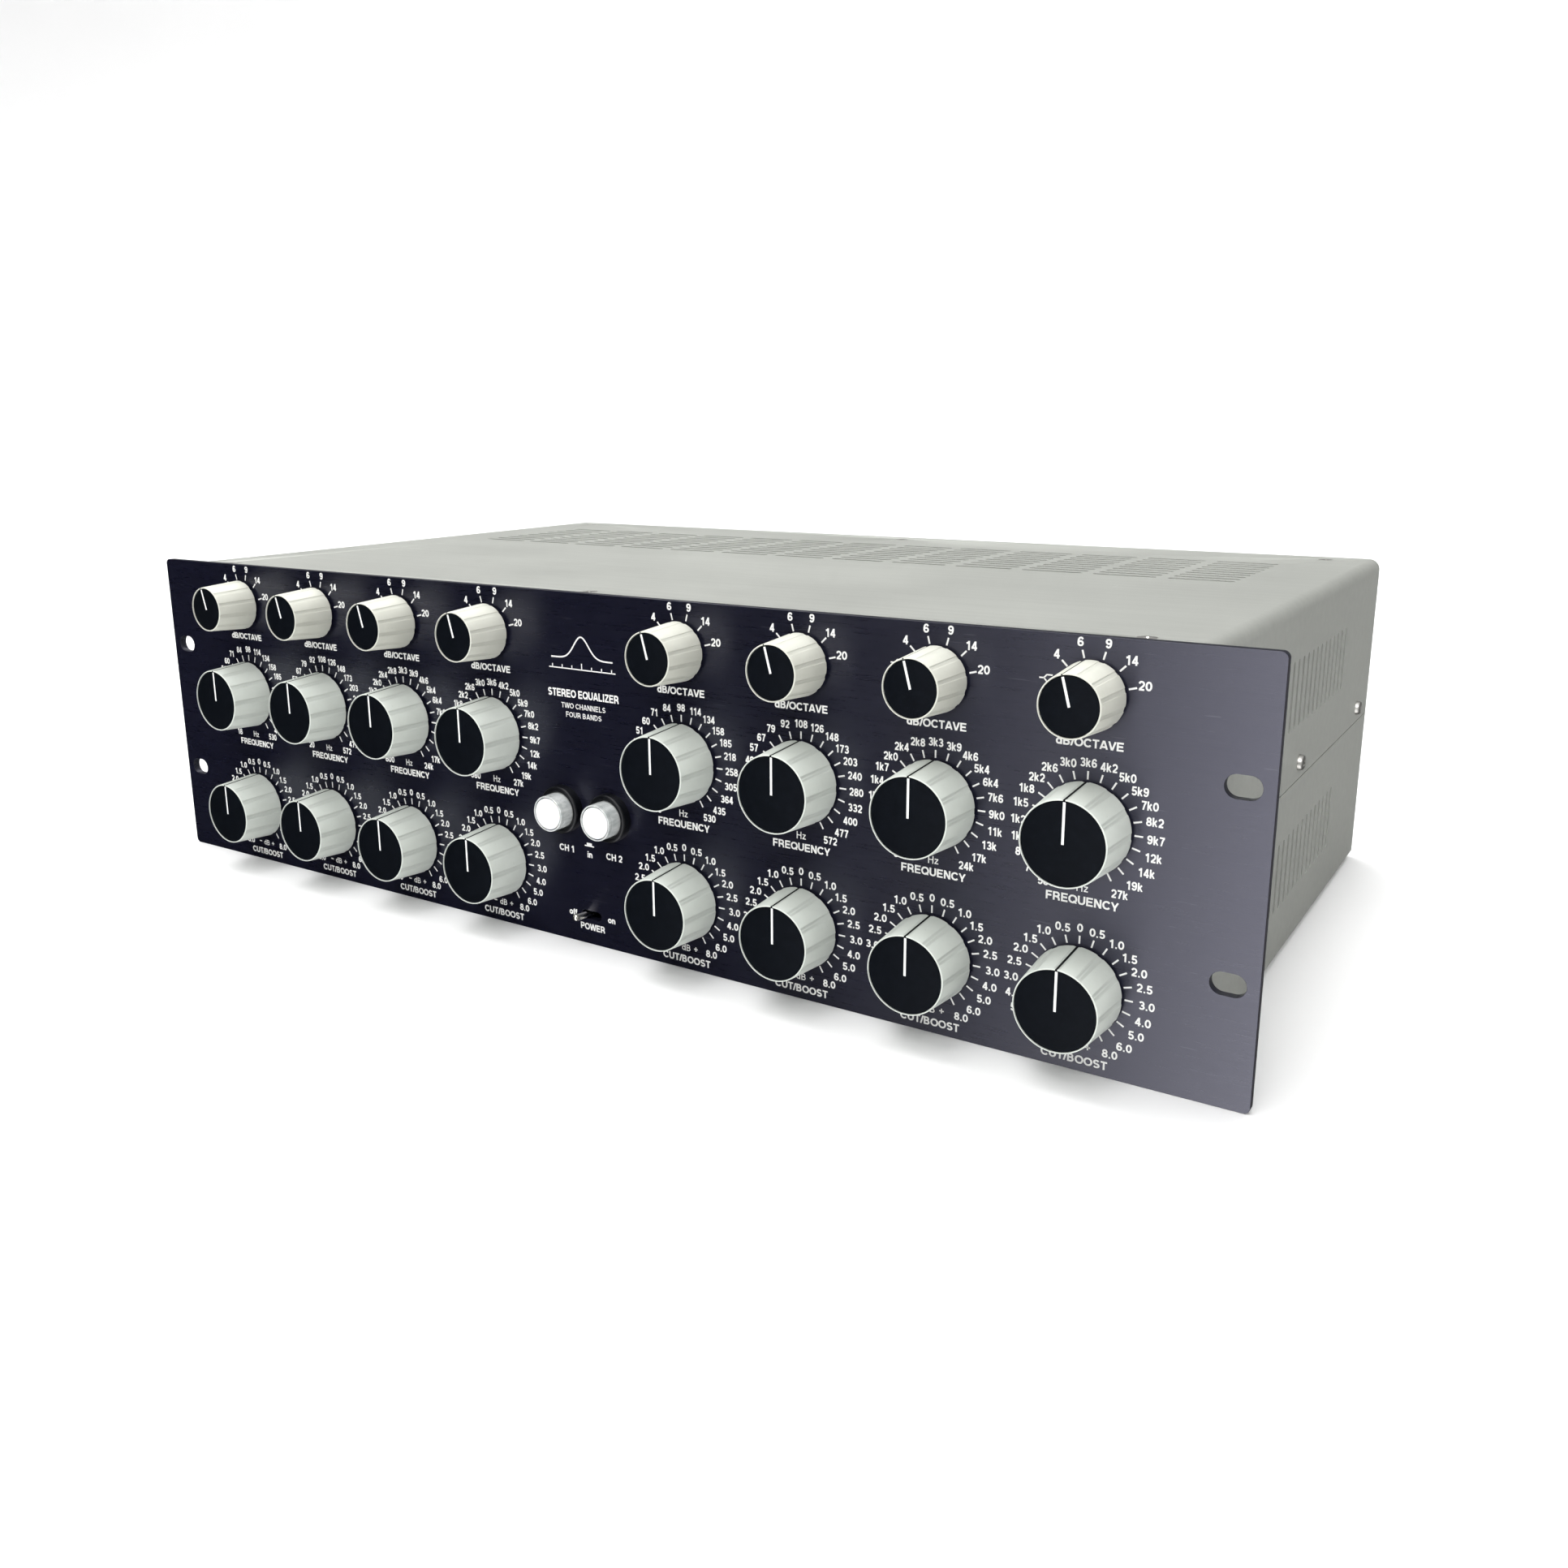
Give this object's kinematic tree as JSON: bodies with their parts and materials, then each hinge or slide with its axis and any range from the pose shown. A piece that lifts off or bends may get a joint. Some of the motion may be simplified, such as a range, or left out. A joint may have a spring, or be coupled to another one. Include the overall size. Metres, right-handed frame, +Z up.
{
  "type": "rack equalizer",
  "caption": "Two-channel rotary equalizer for a 19-inch rack, with turning knobs, sprung push buttons and a toggle power switch.",
  "frame": {"origin": "centre of the four rack slots, on the rear (rail) face of the front panel", "axes": "+X to the right seen from the front, +Y from the panel to the back, +Z up"},
  "size_m": [0.4826, 0.2826, 0.1324],
  "materials": {
    "panel_anodised": "brushed anodised",
    "case_satin": "satin",
    "fastener_steel": "plated",
    "nut_nickel": "nickel plated",
    "knob_grey": "satin",
    "bezel_black": "gloss",
    "button_white": "translucent gloss",
    "lever_chrome": "bright",
    "switch_body": "moulded",
    "board_green": "solder mask",
    "moulded_black": "moulded",
    "ribbon_grey": "smooth",
    "relay_cream": "moulded",
    "capacitor_blue": "sleeve",
    "heatsink_black": "anodised",
    "fuse_glass": "clear",
    "winding_tape": "wound tape",
    "lead_brown": "smooth"
  },
  "bodies": {
    "chassis": {"front_panel": "panel_anodised", "bottom_tray": "case_satin", "top_cover": "case_satin", "rear_panel": "case_satin", "top_cover_screws": "fastener_steel", "side_screws": "fastener_steel", "rear_panel_screws": "fastener_steel", "bushing_nuts": "nut_nickel", "ch1_rotary_switches": "switch_body", "ch2_rotary_switches": "switch_body", "ch1_control_board": "board_green", "ch2_control_board": "board_green", "ribbon_cables": "ribbon_grey", "ch1_filter_board": "board_green", "ch2_filter_board": "board_green", "bypass_relays": "relay_cream", "board_standoffs": "nut_nickel", "board_screws": "fastener_steel", "button_bezels": "bezel_black", "button_switches": "moulded_black", "power_switch": "moulded_black", "power_supply_board": "board_green", "smoothing_capacitors": "capacitor_blue", "voltage_regulators": "heatsink_black", "mains_fuse": "fuse_glass", "transformer": "winding_tape", "transformer_clamp": "fastener_steel", "mains_inlet": "moulded_black", "inlet_screws": "fastener_steel", "mains_wiring": "lead_brown", "line_jacks": "moulded_black", "jack_nuts": "nut_nickel"},
    "ch1_in": {"ch1_in_button": "button_white"},
    "ch2_in": {"ch2_in_button": "button_white"},
    "power": {"power_lever": "lever_chrome"},
    "ch1_band1_slope": {"ch1_band1_slope_knob": "knob_grey"},
    "ch1_band2_slope": {"ch1_band2_slope_knob": "knob_grey"},
    "ch1_band3_slope": {"ch1_band3_slope_knob": "knob_grey"},
    "ch1_band4_slope": {"ch1_band4_slope_knob": "knob_grey"},
    "ch2_band1_slope": {"ch2_band1_slope_knob": "knob_grey"},
    "ch2_band2_slope": {"ch2_band2_slope_knob": "knob_grey"},
    "ch2_band3_slope": {"ch2_band3_slope_knob": "knob_grey"},
    "ch2_band4_slope": {"ch2_band4_slope_knob": "knob_grey"},
    "ch1_band1_frequency": {"ch1_band1_frequency_knob": "knob_grey"},
    "ch1_band2_frequency": {"ch1_band2_frequency_knob": "knob_grey"},
    "ch1_band3_frequency": {"ch1_band3_frequency_knob": "knob_grey"},
    "ch1_band4_frequency": {"ch1_band4_frequency_knob": "knob_grey"},
    "ch2_band1_frequency": {"ch2_band1_frequency_knob": "knob_grey"},
    "ch2_band2_frequency": {"ch2_band2_frequency_knob": "knob_grey"},
    "ch2_band3_frequency": {"ch2_band3_frequency_knob": "knob_grey"},
    "ch2_band4_frequency": {"ch2_band4_frequency_knob": "knob_grey"},
    "ch1_band1_gain": {"ch1_band1_gain_knob": "knob_grey"},
    "ch1_band2_gain": {"ch1_band2_gain_knob": "knob_grey"},
    "ch1_band3_gain": {"ch1_band3_gain_knob": "knob_grey"},
    "ch1_band4_gain": {"ch1_band4_gain_knob": "knob_grey"},
    "ch2_band1_gain": {"ch2_band1_gain_knob": "knob_grey"},
    "ch2_band2_gain": {"ch2_band2_gain_knob": "knob_grey"},
    "ch2_band3_gain": {"ch2_band3_gain_knob": "knob_grey"},
    "ch2_band4_gain": {"ch2_band4_gain_knob": "knob_grey"}
  },
  "joints": [
    {"name": "ch1_band1_slope_turn", "type": "hinge", "parent": "chassis", "child": "ch1_band1_slope", "pos_m": [-0.18923, -0.01, 0.0493], "axis": [0, 1, 0], "range_deg": [-60, 90]},
    {"name": "ch1_band2_slope_turn", "type": "hinge", "parent": "chassis", "child": "ch1_band2_slope", "pos_m": [-0.14097, -0.01, 0.0493], "axis": [0, 1, 0], "range_deg": [-60, 90]},
    {"name": "ch1_band3_slope_turn", "type": "hinge", "parent": "chassis", "child": "ch1_band3_slope", "pos_m": [-0.09271, -0.01, 0.0493], "axis": [0, 1, 0], "range_deg": [-60, 90]},
    {"name": "ch1_band4_slope_turn", "type": "hinge", "parent": "chassis", "child": "ch1_band4_slope", "pos_m": [-0.04445, -0.01, 0.0493], "axis": [0, 1, 0], "range_deg": [-60, 90]},
    {"name": "ch2_band1_slope_turn", "type": "hinge", "parent": "chassis", "child": "ch2_band1_slope", "pos_m": [0.04445, -0.01, 0.0493], "axis": [0, 1, 0], "range_deg": [-60, 90]},
    {"name": "ch2_band2_slope_turn", "type": "hinge", "parent": "chassis", "child": "ch2_band2_slope", "pos_m": [0.09271, -0.01, 0.0493], "axis": [0, 1, 0], "range_deg": [-60, 90]},
    {"name": "ch2_band3_slope_turn", "type": "hinge", "parent": "chassis", "child": "ch2_band3_slope", "pos_m": [0.14097, -0.01, 0.0493], "axis": [0, 1, 0], "range_deg": [-60, 90]},
    {"name": "ch2_band4_slope_turn", "type": "hinge", "parent": "chassis", "child": "ch2_band4_slope", "pos_m": [0.18923, -0.01, 0.0493], "axis": [0, 1, 0], "range_deg": [-60, 90]},
    {"name": "ch1_band1_frequency_turn", "type": "hinge", "parent": "chassis", "child": "ch1_band1_frequency", "pos_m": [-0.18923, -0.01, 0.0102], "axis": [0, 1, 0], "range_deg": [-150, 150]},
    {"name": "ch1_band2_frequency_turn", "type": "hinge", "parent": "chassis", "child": "ch1_band2_frequency", "pos_m": [-0.14097, -0.01, 0.0102], "axis": [0, 1, 0], "range_deg": [-150, 150]},
    {"name": "ch1_band3_frequency_turn", "type": "hinge", "parent": "chassis", "child": "ch1_band3_frequency", "pos_m": [-0.09271, -0.01, 0.0102], "axis": [0, 1, 0], "range_deg": [-150, 150]},
    {"name": "ch1_band4_frequency_turn", "type": "hinge", "parent": "chassis", "child": "ch1_band4_frequency", "pos_m": [-0.04445, -0.01, 0.0102], "axis": [0, 1, 0], "range_deg": [-150, 150]},
    {"name": "ch2_band1_frequency_turn", "type": "hinge", "parent": "chassis", "child": "ch2_band1_frequency", "pos_m": [0.04445, -0.01, 0.0102], "axis": [0, 1, 0], "range_deg": [-150, 150]},
    {"name": "ch2_band2_frequency_turn", "type": "hinge", "parent": "chassis", "child": "ch2_band2_frequency", "pos_m": [0.09271, -0.01, 0.0102], "axis": [0, 1, 0], "range_deg": [-150, 150]},
    {"name": "ch2_band3_frequency_turn", "type": "hinge", "parent": "chassis", "child": "ch2_band3_frequency", "pos_m": [0.14097, -0.01, 0.0102], "axis": [0, 1, 0], "range_deg": [-150, 150]},
    {"name": "ch2_band4_frequency_turn", "type": "hinge", "parent": "chassis", "child": "ch2_band4_frequency", "pos_m": [0.18923, -0.01, 0.0102], "axis": [0, 1, 0], "range_deg": [-150, 150]},
    {"name": "ch1_band1_gain_turn", "type": "hinge", "parent": "chassis", "child": "ch1_band1_gain", "pos_m": [-0.18923, -0.01, -0.0401], "axis": [0, 1, 0], "range_deg": [-150, 150]},
    {"name": "ch1_band2_gain_turn", "type": "hinge", "parent": "chassis", "child": "ch1_band2_gain", "pos_m": [-0.14097, -0.01, -0.0401], "axis": [0, 1, 0], "range_deg": [-150, 150]},
    {"name": "ch1_band3_gain_turn", "type": "hinge", "parent": "chassis", "child": "ch1_band3_gain", "pos_m": [-0.09271, -0.01, -0.0401], "axis": [0, 1, 0], "range_deg": [-150, 150]},
    {"name": "ch1_band4_gain_turn", "type": "hinge", "parent": "chassis", "child": "ch1_band4_gain", "pos_m": [-0.04445, -0.01, -0.0401], "axis": [0, 1, 0], "range_deg": [-150, 150]},
    {"name": "ch2_band1_gain_turn", "type": "hinge", "parent": "chassis", "child": "ch2_band1_gain", "pos_m": [0.04445, -0.01, -0.0401], "axis": [0, 1, 0], "range_deg": [-150, 150]},
    {"name": "ch2_band2_gain_turn", "type": "hinge", "parent": "chassis", "child": "ch2_band2_gain", "pos_m": [0.09271, -0.01, -0.0401], "axis": [0, 1, 0], "range_deg": [-150, 150]},
    {"name": "ch2_band3_gain_turn", "type": "hinge", "parent": "chassis", "child": "ch2_band3_gain", "pos_m": [0.14097, -0.01, -0.0401], "axis": [0, 1, 0], "range_deg": [-150, 150]},
    {"name": "ch2_band4_gain_turn", "type": "hinge", "parent": "chassis", "child": "ch2_band4_gain", "pos_m": [0.18923, -0.01, -0.0401], "axis": [0, 1, 0], "range_deg": [-150, 150]},
    {"name": "ch1_in_press", "type": "slide", "parent": "chassis", "child": "ch1_in", "axis": [0, 1, 0], "range_m": [0, 0.003], "stiffness_N_per_m": 300},
    {"name": "ch2_in_press", "type": "slide", "parent": "chassis", "child": "ch2_in", "axis": [0, 1, 0], "range_m": [0, 0.003], "stiffness_N_per_m": 300},
    {"name": "power_toggle", "type": "hinge", "parent": "chassis", "child": "power", "pos_m": [0.0005, 0.0092, -0.0548], "axis": [0, 0, 1], "range_deg": [0, 24]}
  ]
}
